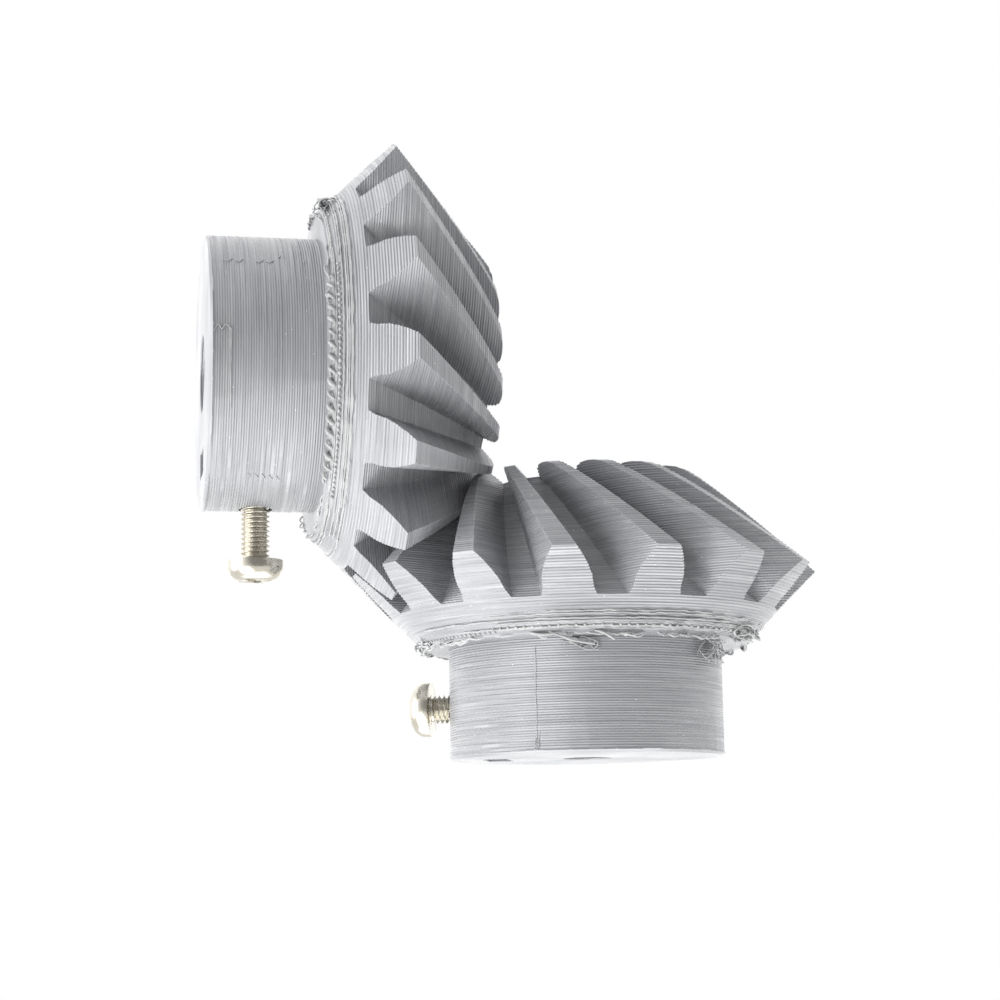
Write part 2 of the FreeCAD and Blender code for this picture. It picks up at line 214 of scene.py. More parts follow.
printed = {gear: printedPlastic(name, gears[gear]["along"])
           for gear, name in (("drive_gear", "silkGreyPlaUpright"), ("driven_gear", "silkGreyPlaLevel"))}
nickel, zinc = steelFinish("nickel"), steelFinish("zinc")
nodeFinish = {"drive_gear": printed["drive_gear"], "driven_gear": printed["driven_gear"],
              "drive_set_screw": nickel, "driven_set_screw": nickel, "drive_nut": zinc, "driven_nut": zinc,
              "drive_centre_pin": steelFinish("pinAlongZ"), "driven_centre_pin": steelFinish("pinAlongX")}
for nodeName, finish in nodeFinish.items():
    nodes[nodeName].data.materials.clear()
    nodes[nodeName].data.materials.append(finish)
print("materials made")


def plainMesh(source):                       # what an object's modifiers make, as a mesh of its own
    depsgraph = bpy.context.evaluated_depsgraph_get()
    return bpy.data.meshes.new_from_object(source.evaluated_get(depsgraph), depsgraph=depsgraph)


def newPiece(name, mesh, material, body, replaced=None):
    mesh.name = name
    mesh.materials.clear()
    mesh.materials.append(material)
    piece = bpy.data.objects.new(name, mesh)
    bpy.context.scene.collection.objects.link(piece)
    if replaced:
        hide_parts(replaced)
    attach(piece, body)
    return piece


def joinedMesh(meshes):
    whole = bmesh.new()
    for mesh in meshes:
        whole.from_mesh(mesh)
    result = bpy.data.meshes.new("joined")
    whole.to_mesh(result)
    whole.free()
    return result


def newTree(name, inputs):                   # a Geometry Nodes tree with these named inputs
    tree = bpy.data.node_groups.new(name, "GeometryNodeTree")
    tree.interface.new_socket("Geometry", in_out="INPUT", socket_type="NodeSocketGeometry")
    tree.interface.new_socket("Geometry", in_out="OUTPUT", socket_type="NodeSocketGeometry")
    for label, kind in inputs.items():
        tree.interface.new_socket(label, in_out="INPUT", socket_type="NodeSocket" + kind)
    return tree, tree.nodes.new("NodeGroupInput").outputs, tree.nodes.new("NodeGroupOutput").inputs


def endTree(tree, geometry, given, outputs):
    smooth = addNode(tree, "GeometryNodeSetShadeSmooth", Geometry=geometry)
    plain = addNode(tree, "GeometryNodeRealizeInstances", Geometry=smooth.outputs[0])
    dressed = addNode(tree, "GeometryNodeSetMaterial", Geometry=plain.outputs[0], Material=given["Material"])
    tree.links.new(dressed.outputs[0], outputs[0])


def grownMesh(tree, settings, base=None):    # runs a tree once on a base mesh and keeps what it makes
    helper = bpy.data.objects.new("growing", base or bpy.data.meshes.new("seedMesh"))
    bpy.context.scene.collection.objects.link(helper)
    modifier = helper.modifiers.new("grow", "NODES")
    modifier.node_group = tree
    for item in tree.interface.items_tree:
        if item.in_out == "INPUT" and item.name in settings:
            modifier[item.identifier] = settings[item.name]
    mesh = plainMesh(helper)
    bpy.data.objects.remove(helper)
    return mesh


# both gears are printed in layers that lie square to their own shafts
printing = {
    "layer": 0.25 * mm,
    "faces": 7500,                           # before the layers are cut
    "nudge": 0.002 * mm,                     # corners this near a cutting plane are moved off it
    "groove": 0.05 * mm, "stairs": 0.38, "steepest": 2.6,      # how deep two layers meet, on walls and slopes
    "wallFrom": 0.15,                        # faces more level than this are left as they are
    "damping": 0.01,                         # keeps sharp corners from shooting out
    "wobble": 0.012 * mm, "offsetShare": 0.6, "waves": (3, 7, 16),      # how a layer strays from the others
    "squash": 0.06 * mm, "squashUpTo": 0.3 * mm, "squashFrom": 13.65 * mm,      # the first layer's rim
    "smoothUnder": math.radians(34), "seed": 7,
}
smallestArea = 1e-20                         # square metres, so that a sliver divides safely


def thinnedCopy(node):                       # points and triangles of a CAD mesh, merged and made simpler
    mesh = node.data.copy()
    cleaner = bmesh.new()
    cleaner.from_mesh(mesh)
    bmesh.ops.remove_doubles(cleaner, verts=cleaner.verts, dist=weld)
    bmesh.ops.triangulate(cleaner, faces=cleaner.faces)
    cleaner.to_mesh(mesh)
    cleaner.free()
    helper = bpy.data.objects.new("thinning", mesh)
    bpy.context.scene.collection.objects.link(helper)
    thin = helper.modifiers.new("thin", "DECIMATE")
    thin.ratio = min(1, printing["faces"] / len(mesh.polygons))
    result = plainMesh(helper)
    bpy.data.objects.remove(helper)
    vertices = np.empty(len(result.vertices) * 3)
    result.vertices.foreach_get("co", vertices)
    result.calc_loop_triangles()
    triangles = np.empty(len(result.loop_triangles) * 3, dtype=int)
    result.loop_triangles.foreach_get("vertices", triangles)
    return vertices.reshape(-1, 3), triangles.reshape(-1, 3)


def faceNormals(points, triangles):
    corner = points[triangles]
    normals = np.cross(corner[:, 1] - corner[:, 0], corner[:, 2] - corner[:, 0])
    return normals / np.maximum(np.linalg.norm(normals, axis=1), smallestArea)[:, None]


# cuts every triangle at each level plane it crosses; neighbours share the new points, so no gap opens
def cutIntoLayers(points, triangles, heights, step):
    edges = np.sort(np.vstack([triangles[:, [0, 1]], triangles[:, [1, 2]], triangles[:, [2, 0]]]), axis=1)
    edges, edgeOf = np.unique(edges, axis=0, return_inverse=True)
    edgeOf = edgeOf.reshape(3, -1)
    level = np.floor(heights / step).astype(int)
    low = np.minimum(level[edges[:, 0]], level[edges[:, 1]]) + 1
    count = np.abs(level[edges[:, 0]] - level[edges[:, 1]])
    start = len(points) + np.concatenate([[0], np.cumsum(count)[:-1]])
    owner = np.repeat(np.arange(len(edges)), count)
    plane = low[owner] + np.arange(len(owner)) - np.repeat(np.cumsum(count) - count, count)
    a, b = edges[owner, 0], edges[owner, 1]
    share = ((plane * step - heights[a]) / (heights[b] - heights[a]))[:, None]
    points = np.vstack([points, points[a] + share * (points[b] - points[a])])
    heights = np.concatenate([heights, plane * step])
    faces, source = [], []
    for t, triangle in enumerate(triangles):
        order = sorted(range(3), key=lambda i: heights[triangle[i]])      # lowest corner first
        a, b, c = (int(triangle[i]) for i in order)
        odd = order in ([1, 0, 2], [0, 2, 1], [2, 1, 0])
        edge = {frozenset((i, (i + 1) % 3)): int(edgeOf[i, t]) for i in range(3)}
        long = edge[frozenset((order[0], order[2]))]
        lower = edge[frozenset((order[0], order[1]))]
        upper = edge[frozenset((order[1], order[2]))]
        middleLevel = level[b]
        before = [a]
        for k in range(level[a] + 1, level[c] + 1):
            left = int(start[long] + k - low[long])
            side = lower if k <= middleLevel else upper
            right = int(start[side] + k - low[side])
            face = before + ([b] if k == middleLevel + 1 else []) + [right, left]
            faces.append(face)
            source.append(t)
            before = [left, right]
        face = before + ([b] if middleLevel == level[c] else []) + [c]
        faces.append(face)
        source.append(t)
        if odd:                              # sorting turned these faces over
            grown = level[c] - level[a] + 1
            for i in range(len(faces) - grown, len(faces)):
                faces[i] = faces[i][::-1]
    return points, heights, faces, np.array(source)


# how far each point would go in between two layers, and which way is out
def grooveShift(points, faces, normals):
    loopVertex = np.fromiter((v for face in faces for v in face), dtype=int)
    loopNormal = np.repeat(normals, [len(face) for face in faces], axis=0)
    sideways = np.linalg.norm(loopNormal[:, :2], axis=1)
    counts = sideways > printing["wallFrom"]
    loopVertex, loopNormal, sideways = loopVertex[counts], loopNormal[counts], sideways[counts]
    slope = np.minimum(np.abs(loopNormal[:, 2]), printing["steepest"] * sideways)
    target = -(printing["stairs"] * printing["layer"] / 2 * slope + printing["groove"] * sideways)
    matrix = np.zeros((len(points), 2, 2))
    right, outward = np.zeros((len(points), 2)), np.zeros((len(points), 2))
    flat = loopNormal[:, :2]
    np.add.at(matrix, loopVertex, flat[:, :, None] * flat[:, None, :])
    np.add.at(right, loopVertex, flat * target[:, None])
    np.add.at(outward, loopVertex, flat)
    trace = np.maximum(matrix[:, 0, 0] + matrix[:, 1, 1], tiny)
    matrix += (printing["damping"] * trace)[:, None, None] * np.eye(2)
    shift = np.linalg.solve(matrix, right[:, :, None])[:, :, 0]
    length = np.linalg.norm(shift, axis=1)
    shift *= np.minimum(1, printing["layer"] / np.maximum(length, tiny))[:, None]
    return shift, outward / np.maximum(np.linalg.norm(outward, axis=1), tiny)[:, None]


def layerWobble(points, heights, seed):      # each layer lies a little off the one below it
    generator = np.random.default_rng(printing["seed"] + seed)
    layers = int(heights.max() / printing["layer"]) + 2
    turn = np.arctan2(points[:, 1], points[:, 0])
    index = np.clip(np.floor(heights / printing["layer"]).astype(int), 0, layers - 1)
    wobble = generator.normal(0, 1, layers)[index] * printing["offsetShare"]
    for waves in printing["waves"]:
        wobble += np.sin(waves * turn + generator.uniform(0, math.tau, layers)[index])
    return wobble * printing["wobble"] / 2 - printing["wobble"]


def printedGear(name, nodeName, seed):
    points, triangles = thinnedCopy(nodes[nodeName])
    stand, layer, nudge = gears[nodeName], printing["layer"], printing["nudge"]
    end = np.array(stand["end"])
    frameAxes = np.array([stand["zero"], stand["quarter"], stand["along"]])
    local = (points - end) @ frameAxes.T
    step = layer / 2                         # planes where two layers meet and where a layer is widest
    away = local[:, 2] / step - np.round(local[:, 2] / step)
    local[:, 2] += np.where(np.abs(away) * step < nudge, nudge * 1.5, 0)
    normals = faceNormals(local, triangles)
    local, heights, faces, source = cutIntoLayers(local, triangles, local[:, 2].copy(), step)
    shift, outward = grooveShift(local, faces, normals[source])
    crease = 1 - 2 * np.abs(heights / layer - np.round(heights / layer))
    shift *= crease[:, None]
    shift += outward * layerWobble(local, heights, seed)[:, None]
    onHub = np.linalg.norm(local[:, :2], axis=1) > printing["squashFrom"]
    first = (heights < printing["squashUpTo"]) & onHub      # the first layer is pressed out on the bed
    shift[first] = outward[first] * printing["squash"]
    local[:, :2] += shift
    mesh = bpy.data.meshes.new(name)
    mesh.from_pydata((local @ frameAxes + end).tolist(), [], faces)
    mesh.shade_smooth()
    mesh.set_sharp_from_angle(angle=printing["smoothUnder"])
    newPiece(name, mesh, printed[nodeName], nodeName, nodeName)
    print(name, "has", len(faces), "faces,", sum(len(face) - 2 for face in faces), "triangles")


printedGear("driveGearPrinted", "drive_gear", 0)
printedGear("drivenGearPrinted", "driven_gear", 1)


thread = {"core": 1.2 * mm, "depth": 0.29 * mm, "pitch": 0.5 * mm, "leadIn": 0.5 * mm, "sides": 40,
          "ringsPerTurn": 10, "flat": 0.14, "sharpFrom": math.radians(50),
          "headFrom": 0.1 * mm,              # what is wider than the thread by this is the head
          "overlap": 0.05 * mm}              # how far the head reaches down the rod
bevels = {"head": 0.09 * mm, "nut": 0.16 * mm, "from": math.radians(28), "segments": 3,
          "flatUnder": math.radians(1), "sharpFrom": math.radians(35)}


# a rod whose skin is pushed out along a ridge that climbs one pitch in a turn and fades at both ends
def threadTree():
    tree, given, outputs = newTree("rolledThread", {
        "Core Radius": "Float", "Depth": "Float", "Pitch": "Float", "Length": "Float", "Lead In": "Float",
        "Rings": "Int", "Material": "Material"})
    rod = addNode(tree, "GeometryNodeMeshCylinder", Vertices=thread["sides"], i1=given["Rings"],
                  Radius=given["Core Radius"], Depth=given["Length"])
    position = addNode(tree, "GeometryNodeInputPosition").outputs[0]
    place = addNode(tree, "ShaderNodeSeparateXYZ", i0=position).outputs
    made = {"x": place[0], "y": place[1], "z": place[2],
            "core": given["Core Radius"], "depth": given["Depth"], "pitch": given["Pitch"],
            "length": given["Length"], "leadIn": given["Lead In"]}
    for result, operation, first, second in (
            ("angle", "ARCTAN2", "y", "x"),
            ("turn", "DIVIDE", "angle", math.tau),
            ("climb", "DIVIDE", "z", "pitch"),
            ("phase", "SUBTRACT", "climb", "turn"),
            ("halfWave", "PINGPONG", "phase", 0.5),
            ("wave", "MULTIPLY", "halfWave", 2.0),
            ("flank", "SUBTRACT", "wave", thread["flat"]),
            ("steepFlank", "DIVIDE", "flank", 1 - 2 * thread["flat"]),
            ("topped", "MINIMUM", "steepFlank", 1.0),
            ("ridge", "MAXIMUM", "topped", 0.0),
            ("halfLength", "DIVIDE", "length", 2.0),
            ("fromMiddle", "ABSOLUTE", "z", 0.0),
            ("fromEnd", "SUBTRACT", "halfLength", "fromMiddle"),
            ("rise", "DIVIDE", "fromEnd", "leadIn"),
            ("fade", "MINIMUM", "rise", 1.0),
            ("fadedRidge", "MULTIPLY", "ridge", "fade"),
            ("height", "MULTIPLY", "fadedRidge", "depth"),
            ("share", "DIVIDE", "height", "core"),
            ("grow", "ADD", "share", 1.0),
            ("newX", "MULTIPLY", "x", "grow"),
            ("newY", "MULTIPLY", "y", "grow")):
        made[result] = addNode(tree, "ShaderNodeMath", {"operation": operation},
                               i0=made[first], i1=made.get(second, second)).outputs[0]
    moved = addNode(tree, "ShaderNodeCombineXYZ", i0=made["newX"], i1=made["newY"], i2=made["z"])
    cut = addNode(tree, "GeometryNodeSetPosition", Geometry=rod.outputs["Mesh"], Position=moved.outputs[0])
    endTree(tree, cut.outputs[0], given, outputs)
    return tree


def cleanCopy(nodeName):                     # a CAD node's mesh with its seams closed and flats in one piece
    solid = bmesh.new()
    solid.from_mesh(nodes[nodeName].data)
    bmesh.ops.remove_doubles(solid, verts=solid.verts, dist=weld)
    bmesh.ops.dissolve_limit(solid, angle_limit=bevels["flatUnder"], verts=solid.verts, edges=solid.edges)
    return solid


def bevelled(solid, width):
    mesh = bpy.data.meshes.new("bevelling")
    solid.to_mesh(mesh)
    solid.free()
    helper = bpy.data.objects.new("bevelling", mesh)
    bpy.context.scene.collection.objects.link(helper)
    bevel = helper.modifiers.new("bevel", "BEVEL")
    bevel.width, bevel.segments = width, bevels["segments"]
    bevel.limit_method, bevel.angle_limit = "ANGLE", bevels["from"]
    bevel.use_clamp_overlap = True
    result = plainMesh(helper)
    bpy.data.objects.remove(helper)
    result.shade_smooth()
    result.set_sharp_from_angle(angle=bevels["sharpFrom"])
    return result


# the CAD screw's own head on a rod with a real thread, along the axis that its joint slides on
def setScrew(name, nodeName, joint, tree):
    inward = Vector(jointAt[joint]["axis"]).normalized()
    side = inward.orthogonal().normalized()
    across = inward.cross(side)
    points = [vertex.co for vertex in nodes[nodeName].data.vertices]
    depths = [point.dot(inward) for point in points]
    centre = sum((axis * (max(p.dot(axis) for p in points) + min(p.dot(axis) for p in points)) / 2
                  for axis in (side, across)), Vector())
    shank = thread["core"] + thread["depth"] + thread["headFrom"]
    underHead = max(d for p, d in zip(points, depths) if (p - inward * d - centre).length > shank)
    length = max(depths) - underHead
    rod = grownMesh(tree, {
        "Core Radius": thread["core"], "Depth": thread["depth"], "Pitch": thread["pitch"], "Length": length,
        "Lead In": thread["leadIn"], "Material": nickel,
        "Rings": round(length / thread["pitch"] * thread["ringsPerTurn"])})
    middle = centre + inward * (underHead + length / 2)
    rod.transform(Matrix.Translation(middle) @ inward.to_track_quat("Z", "Y").to_matrix().to_4x4())
    rod.set_sharp_from_angle(angle=thread["sharpFrom"])
    head = cleanCopy(nodeName)
    cutAt = centre + inward * (underHead + thread["overlap"])
    bmesh.ops.bisect_plane(head, geom=head.verts[:] + head.edges[:] + head.faces[:], plane_co=cutAt,
                           plane_no=inward, clear_outer=True, dist=weld)
    bmesh.ops.holes_fill(head, edges=[edge for edge in head.edges if edge.is_boundary], sides=0)
    mesh = joinedMesh([bevelled(head, bevels["head"]), rod])
    newPiece(name, mesh, nickel, nodeName, nodeName)


screwThread = threadTree()
setScrew("driveSetScrewThreaded", "drive_set_screw", "drive_screw_travel", screwThread)
setScrew("drivenSetScrewThreaded", "driven_set_screw", "driven_screw_travel", screwThread)
for side in ("drive", "driven"):
    newPiece(side + "NutPressed", bevelled(cleanCopy(side + "_nut"), bevels["nut"]), zinc, side + "_gear",
             side + "_nut")
print("screws and nuts made")


# loose filament on the overhanging rims
filament = {"hubEndMm": 11.3, "rimMm": 16.7, "hubMm": 14.13,      # the rim's place and two radii
            "every": 0.15 * mm, "sides": 7, "bendEvery": 1.1 * mm, "thinnest": 0.55, "thickest": 1.35,
            "beadLeast": 0.65, "beadMost": 1.3, "seed": 23}


def strandTree():                            # a rounded path, shaken by noise, swept with an uneven girth
    tree, given, outputs = newTree("looseStrands", {
        "Thickness": "Float", "Uneven": "Float", "Seed": "Float", "Material": "Material"})
    path = addNode(tree, "GeometryNodeMeshToCurve", Mesh=given["Geometry"])
    bent = addNode(tree, "GeometryNodeCurveSplineType", {"spline_type": "CATMULL_ROM"},
                   Curve=path.outputs[0])
    fine = addNode(tree, "GeometryNodeResampleCurve", {"mode": "LENGTH"}, Curve=bent.outputs[0],
                   Length=filament["every"])
    position = addNode(tree, "GeometryNodeInputPosition").outputs[0]
    shake = addNode(tree, "ShaderNodeTexNoise", {"noise_dimensions": "4D"}, W=given["Seed"], Vector=position,
                    Scale=1 / filament["bendEvery"], Detail=2.0)
    centred = addNode(tree, "ShaderNodeVectorMath", {"operation": "SUBTRACT"}, i0=shake.outputs["Color"],
                      i1=(0.5, 0.5, 0.5))
    offset = addNode(tree, "ShaderNodeVectorMath", {"operation": "SCALE"}, i0=centred.outputs[0],
                     Scale=given["Uneven"])
    shaken = addNode(tree, "GeometryNodeSetPosition", Geometry=fine.outputs[0], Offset=offset.outputs[0])
    girth = addNode(tree, "ShaderNodeMapRange", i0=shake.outputs["Fac"], i1=noiseLow, i2=noiseHigh,
                    i3=filament["thinnest"], i4=filament["thickest"])
    ring = addNode(tree, "GeometryNodeCurvePrimitiveCircle", Resolution=filament["sides"],
                   Radius=given["Thickness"])
    tube = addNode(tree, "GeometryNodeCurveToMesh", Curve=shaken.outputs[0], Profile_Curve=ring.outputs[0],
                   Scale=girth.outputs[0], Fill_Caps=True)
    endTree(tree, tube.outputs[0], given, outputs)
    return tree


def beadTree():                              # short drops one after another, where the nozzle oozed
    tree, given, outputs = newTree("filamentBeads", {
        "Bead Radius": "Float", "Spacing": "Float", "Seed": "Int", "Material": "Material"})
    path = addNode(tree, "GeometryNodeMeshToCurve", Mesh=given["Geometry"])
    stops = addNode(tree, "GeometryNodeResampleCurve", {"mode": "LENGTH"}, Curve=path.outputs[0],
                    Length=given["Spacing"])
    bead = addNode(tree, "GeometryNodeMeshIcoSphere", Radius=given["Bead Radius"], Subdivisions=2)
    size = addNode(tree, "FunctionNodeRandomValue", {"data_type": "FLOAT_VECTOR"},
                   i0=[filament["beadLeast"]] * 3, i1=[filament["beadMost"]] * 3, Seed=given["Seed"])
    turn = addNode(tree, "FunctionNodeRandomValue", {"data_type": "FLOAT_VECTOR"},
                   i0=[0] * 3, i1=[math.tau] * 3, Seed=given["Seed"])
    beads = addNode(tree, "GeometryNodeInstanceOnPoints", Points=stops.outputs[0], Instance=bead.outputs[0],
                    Scale=size.outputs[0], Rotation=turn.outputs[0])
    endTree(tree, beads.outputs[0], given, outputs)
    return tree


def pathMesh(routes):                        # each route a chain of edges
    mesh = bpy.data.meshes.new("routes")
    points, chain = [], []
    for route in routes:
        chain += [(len(points) + i, len(points) + i + 1) for i in range(len(route) - 1)]
        points += route
    mesh.from_pydata(points, chain, [])
    return mesh


def coneRadius(reach):                       # the crown's back is a 45 degree cone from the rim outwards
    return filament["rimMm"] + max(0, reach - filament["hubEndMm"])


def ringRoute(gear, start, stop, reach, proud, step=3):
    count = max(2, round(abs(stop - start) / step))
    return [aroundGear(gear, start + (stop - start) * i / count, reach, coneRadius(reach) + proud)
            for i in range(count + 1)]


def twistRoute(gear, start, stop, reach, proud, swing, turns):      # curled round the rim like a braid
    perTurn = 8
    count = turns * perTurn
    route = []
    for i in range(count + 1):
        wind = math.tau * i / perTurn
        route.append(aroundGear(gear, start + (stop - start) * i / count, reach + swing * math.sin(wind),
                                coneRadius(reach) + proud + swing * math.cos(wind)))
    return route


def rimStrands(gear, generator, count):      # long strands lying on the cone just above the rim
    routes = []
    for _ in range(count):
        start = generator.uniform(0, 360)
        routes.append(ringRoute(gear, start, start + generator.uniform(40, 150),
                                generator.uniform(11.5, 13.3), generator.uniform(-0.04, 0.06)))
    return routes


def droopLoops(gear, generator, count):      # short loops sagging off the rim's edge
    routes = []
    for _ in range(count):
        start, span = generator.uniform(0, 360), generator.uniform(3, 9)
        drop, out = generator.uniform(0.1, 0.55), generator.uniform(0.0, 0.35)
        routes.append([aroundGear(gear, start + span * share, filament["hubEndMm"] + 0.15 - drop * lift,
                                  filament["rimMm"] - 0.1 + out * lift)
                       for share, lift in ((0, 0), (0.25, 0.7), (0.5, 1), (0.8, 0.6), (1, 0))])
    return routes


def tangle(gear, generator, angles, reaches, radii, count):      # strands of five knots within these limits
    limits = (angles, reaches, radii)
    return [[aroundGear(gear, *(generator.uniform(*limit) for limit in limits)) for _ in range(5)]
            for _ in range(count)]


def handRoute(gear, points):                 # degrees, mm from the hub's end and mm from the axis, given one by one
    return [aroundGear(gear, *point) for point in points]


def seamRoute(gear, angle):                  # where each layer's bead starts and ends, up the hub
    return [aroundGear(gear, angle, 0.5 + i, filament["hubMm"]) for i in range(11)]


# strands are (mm thick, mm uneven, routes) and beads are (mm radius, mm apart, routes)
def looseFilament(name, gear, seed, strands, beads):
    meshes = [grownMesh(strandGrowth, {"Thickness": thick * mm, "Uneven": uneven * mm, "Seed": float(seed),
                                       "Material": drawn}, pathMesh(routes))
              for thick, uneven, routes in strands]
    meshes += [grownMesh(beadGrowth, {"Bead Radius": radius * mm, "Spacing": spacing * mm, "Seed": seed,
                                      "Material": drawn}, pathMesh(routes))
               for radius, spacing, routes in beads]
    mesh = joinedMesh(meshes)
    newPiece(name, mesh, drawn, gear)
    print(name, "has", len(mesh.polygons), "faces")


def driveRimRoutes(chance):
    gear = "drive_gear"
    slivers = [[(-115, 11.5, 16.8), (-111, 11.0, 17.0), (-106, 10.5, 16.9), (-100, 10.2, 16.7)],
               [(-100, 11.5, 16.9), (-97, 11.2, 17.1), (-93.5, 10.6, 16.9)],
               [(-122, 11.5, 16.8), (-117, 11.2, 17.0), (-111, 11.4, 16.8)]]
    strands = [
        (0.10, 0.35, rimStrands(gear, chance, 16)),
        (0.12, 0.45, droopLoops(gear, chance, 80)),
        (0.13, 0.12, [handRoute(gear, points) for points in slivers]),
        (0.07, 0.5, tangle(gear, chance, (-53, -30), (8.8, 11.3), (14.3, 15.6), 9)),
        (0.06, 0.3, tangle(gear, chance, (-112, -96), (9.9, 11.2), (14.2, 14.6), 6)),
        (0.12, 0.5, tangle(gear, chance, (-46, -20), (11.3, 12.9), (17.0, 18.3), 6)),
        (0.12, 0.5, tangle(gear, chance, (150, 190), (11.2, 12.3), (16.9, 17.7), 6)),
        (0.05, 0.16, [seamRoute(gear, -123.5)]),
        (0.04, 0.35, tangle(gear, chance, (-125, -122), (0.3, 2.2), (14.08, 14.18), 5)),
    ]
    beads = [(0.17, 0.85, [ringRoute(gear, -134, -44, 12.0, 0.02)]),
             (0.13, 0.62, [ringRoute(gear, -44, 226, 11.7, 0.0)])]
    return strands, beads


def drivenRimRoutes(chance):
    gear = "driven_gear"
    squiggle = [(-4, 0.35, 14.2), (-7, 0.75, 14.2), (-5, 1.1, 14.2), (-7, 1.5, 14.2), (-4.5, 2.1, 14.2)]
    ridge = [(-5, 2.0, 14.16), (5, 2.0, 14.16), (16, 2.0, 14.16), (26, 2.05, 14.16)]
    scratches = [[(56 + 0.4 * i, 4.1 + 0.7 * i, 14.15), (58 + 0.4 * i, 4.4 + 0.7 * i, 14.18)]
                 for i in range(5)]
    hooks = [[(-40, reach, 14.15), (-39, reach + 0.4, 14.2), (-41, reach + 0.8, 14.15)]
             for reach in (1.5, 2.6, 4.6, 5.6)]
    strands = [
        (0.10, 0.3, rimStrands(gear, chance, 20)),
        (0.12, 0.45, droopLoops(gear, chance, 60)),
        (0.20, 0.12, [twistRoute(gear, -22, 48, 11.45, 0.12, 0.3, 17)]),
        (0.11, 0.25, [ringRoute(gear, -60, 75, reach, 0.03) for reach in (12.5, 12.85, 13.2)]),
        (0.10, 0.5, tangle(gear, chance, (-95, -60), (11.2, 13.6), (17.2, 18.6), 10)),
        (0.05, 0.16, [seamRoute(gear, 118)]),
        (0.06, 0.05, [handRoute(gear, squiggle)]),
        (0.08, 0.02, [handRoute(gear, ridge)]),
        (0.05, 0.05, [handRoute(gear, points) for points in scratches]),
        (0.05, 0.1, [handRoute(gear, points) for points in hooks]),
    ]
    beads = [(0.19, 0.6, [ringRoute(gear, -26, 55, 12.15, 0.02)]),
             (0.13, 0.6, [ringRoute(gear, 55, 334, 11.8, 0.0)]),
             (0.13, 2.4, [handRoute(gear, [(-43.4, 7.05, 14.2), (-40.3, 9.4, 14.2)])])]
    return strands, beads


drawn = drawnFilament()
strandGrowth, beadGrowth = strandTree(), beadTree()
chance = np.random.default_rng(filament["seed"])
looseFilament("driveRimFilament", "drive_gear", 3, *driveRimRoutes(chance))
looseFilament("drivenRimFilament", "driven_gear", 5, *drivenRimRoutes(chance))


# the bulge that each layer leaves at a tooth's sharp corners, in the paler strings' colour, which paints in
# the bright dashes of highlight along those corners
corners = {"radius": 0.12 * mm, "least": 0.6, "most": 1.1, "sink": 0.12 * mm,
           "above": 13.4 * mm, "sharperThan": math.radians(45), "kept": 0.8, "seed": 41}


def bulgeTree():
    tree, given, outputs = newTree("cornerBulges", {
        "Radius": "Float", "Seed": "Int", "Material": "Material"})
    bulge = addNode(tree, "GeometryNodeMeshIcoSphere", Radius=given["Radius"], Subdivisions=1)
    size = addNode(tree, "FunctionNodeRandomValue", {"data_type": "FLOAT_VECTOR"},
                   i0=[corners["least"]] * 3, i1=[corners["most"]] * 3, Seed=given["Seed"])
    turn = addNode(tree, "FunctionNodeRandomValue", {"data_type": "FLOAT_VECTOR"},
                   i0=[0] * 3, i1=[math.tau] * 3, Seed=given["Seed"])
    bulges = addNode(tree, "GeometryNodeInstanceOnPoints", Points=given["Geometry"],
                     Instance=bulge.outputs["Mesh"], Scale=size.outputs[0], Rotation=turn.outputs[0])
    endTree(tree, bulges.outputs[0], given, outputs)
    return tree


def cornerPoints(nodeName):                  # where each layer's middle crosses a tooth's outward corner
    points, triangles = thinnedCopy(nodes[nodeName])
    normals = faceNormals(points, triangles)
    middles = points[triangles].mean(axis=1)
    heights = (points - np.array(gears[nodeName]["end"])) @ np.array(gears[nodeName]["along"])
    sides = {}
    for t, (a, b, c) in enumerate(triangles.tolist()):
        for edge in ((a, b), (b, c), (c, a)):
            sides.setdefault(tuple(sorted(edge)), []).append(t)
    layer, found = printing["layer"], []
    for (a, b), faces in sides.items():
        low, high = sorted((heights[a], heights[b]))
        if len(faces) != 2 or low < corners["above"] or high - low < tiny:
            continue
        first, second = faces
        bend = math.acos(max(-1, min(1, float(normals[first] @ normals[second]))))
        outward = (middles[second] - middles[first]) @ normals[first] < 0
        if bend < corners["sharperThan"] or not outward:
            continue
        inward = -(normals[first] + normals[second])
        inward *= corners["sink"] / np.linalg.norm(inward)
        for k in range(math.ceil(low / layer - 0.5), math.floor(high / layer - 0.5) + 1):
            share = ((k + 0.5) * layer - heights[a]) / (heights[b] - heights[a])
            found.append(points[a] + share * (points[b] - points[a]) + inward)
    return found


def cornerBulges(name, nodeName, tree, seed):
    generator = np.random.default_rng(corners["seed"] + seed)
    found = [tuple(point) for point in cornerPoints(nodeName) if generator.random() < corners["kept"]]
    base = bpy.data.meshes.new("cornerPoints")
    base.from_pydata(found, [], [])
    # the paler colour here is a painted highlight on the real bulges
    mesh = grownMesh(tree, {"Radius": corners["radius"], "Seed": seed, "Material": drawn}, base)
    newPiece(name, mesh, drawn, nodeName)
    print(name, "has", len(found), "bulges")


bulgeGrowth = bulgeTree()
cornerBulges("driveCornerBulges", "drive_gear", bulgeGrowth, 1)
cornerBulges("drivenCornerBulges", "driven_gear", bulgeGrowth, 2)


# degrees and mm; the last three say how far the apex lies right of, above and away from the lens
view = {"turn": 11.217, "rise": -9.511, "roll": -1.058, "lens": 76.66, "sensor": 36, "nearest": 0.01,
        "apexRight": 8.291, "apexUp": 12.403, "apexAway": 226.14}


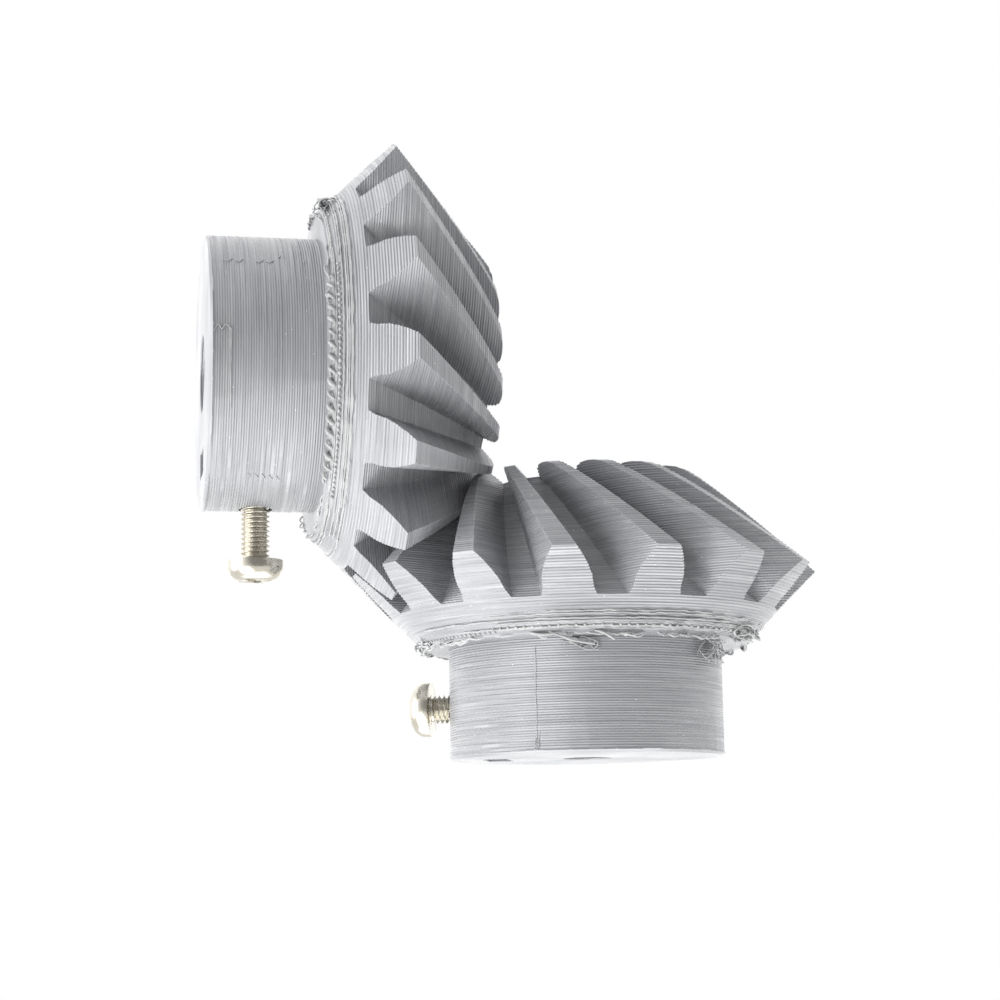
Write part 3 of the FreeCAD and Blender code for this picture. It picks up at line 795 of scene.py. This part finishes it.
def placeCamera():
    turn, rise, roll = (math.radians(view[key]) for key in ("turn", "rise", "roll"))
    back = Vector((-math.sin(turn) * math.cos(rise), -math.cos(turn) * math.cos(rise), math.sin(rise)))
    right = (-back).cross(Vector((0, 0, 1))).normalized()
    up = right.cross(-back)
    rolledRight = math.cos(roll) * right + math.sin(roll) * up
    rolledUp = math.cos(roll) * up - math.sin(roll) * right
    camera = bpy.data.objects.new("camera", bpy.data.cameras.new("camera"))
    bpy.context.scene.collection.objects.link(camera)
    camera.data.lens = view["lens"]
    camera.data.sensor_width = view["sensor"]
    camera.data.clip_start = view["nearest"]
    toApex = view["apexRight"] * rolledRight + view["apexUp"] * rolledUp - view["apexAway"] * back
    place = apex - toApex * mm
    turned = Matrix((rolledRight, rolledUp, back)).transposed().to_4x4()
    camera.matrix_world = Matrix.Translation(place) @ turned
    bpy.context.scene.camera = camera


lamps = {                                    # metres from the apex, metres wide, watts
    "lowSoftbox": {"from": (-0.200, -0.133, -0.201), "size": 0.25, "power": 0.40},
    "underPanel": {"from": (0.0, 0.02, -0.30), "size": 0.3, "power": 0.62},
    "leftPanel": {"from": (-0.32, 0.0, 0.0), "size": 0.3, "power": 0.50},
}
room = {"bright": 1.45, "dim": 0.33, "dimTowards": (0.176, -0.934, 0.31), "dimFrom": 0.3, "dimTo": 0.9}


def placeLamps():
    for name, lamp in lamps.items():
        data = bpy.data.lights.new(name, "AREA")
        data.size = lamp["size"]
        data.energy = lamp["power"]
        light = bpy.data.objects.new(name, data)
        bpy.context.scene.collection.objects.link(light)
        light.location = apex + Vector(lamp["from"])
        light.rotation_euler = (-Vector(lamp["from"])).to_track_quat("-Z", "Y").to_euler()
        light.visible_camera = False


def whiteRoom():                             # dimmer in front and above, pure white to look at
    world = bpy.data.worlds.new("whiteRoom")
    world.use_nodes = True
    tree = world.node_tree
    towards = addNode(tree, "ShaderNodeTexCoord").outputs["Generated"]
    facing = addNode(tree, "ShaderNodeVectorMath", {"operation": "DOT_PRODUCT"},
                     i0=towards, i1=room["dimTowards"])
    dimmed = addNode(tree, "ShaderNodeMapRange", {"interpolation_type": "SMOOTHSTEP"},
                     i0=facing.outputs["Value"], i1=room["dimFrom"], i2=room["dimTo"],
                     i3=room["bright"], i4=room["dim"])
    seen = addNode(tree, "ShaderNodeLightPath").outputs["Is Camera Ray"]
    strength = addNode(tree, "ShaderNodeMix", {"data_type": "FLOAT"}, i0=seen, i2=dimmed.outputs[0], i3=1.0)
    background = tree.nodes["Background"]
    background.inputs["Color"].default_value = (1, 1, 1, 1)
    tree.links.new(strength.outputs[0], background.inputs["Strength"])
    bpy.context.scene.world = world
    bpy.context.scene.view_settings.view_transform = "Standard"


ground = {"half": 1.2, "below": -0.3, "colour": "#f2f2f0"}      # metres


def paperFloor():                            # pale matt paper, which gives back even, soft light
    half, below = ground["half"], ground["below"]
    outline = [(-half, -half, below), (half, -half, below), (half, half, below), (-half, half, below)]
    mesh = bpy.data.meshes.new("floor")
    mesh.from_pydata(outline, [], [(0, 1, 2, 3)])
    material, _, shader = newMaterial("palePaper")
    shader.inputs["Base Color"].default_value = linear(ground["colour"])
    mesh.materials.append(material)
    floor = bpy.data.objects.new("floor", mesh)
    bpy.context.scene.collection.objects.link(floor)


placeCamera()
placeLamps()
whiteRoom()
paperFloor()
print("camera, lamps, room and floor placed")
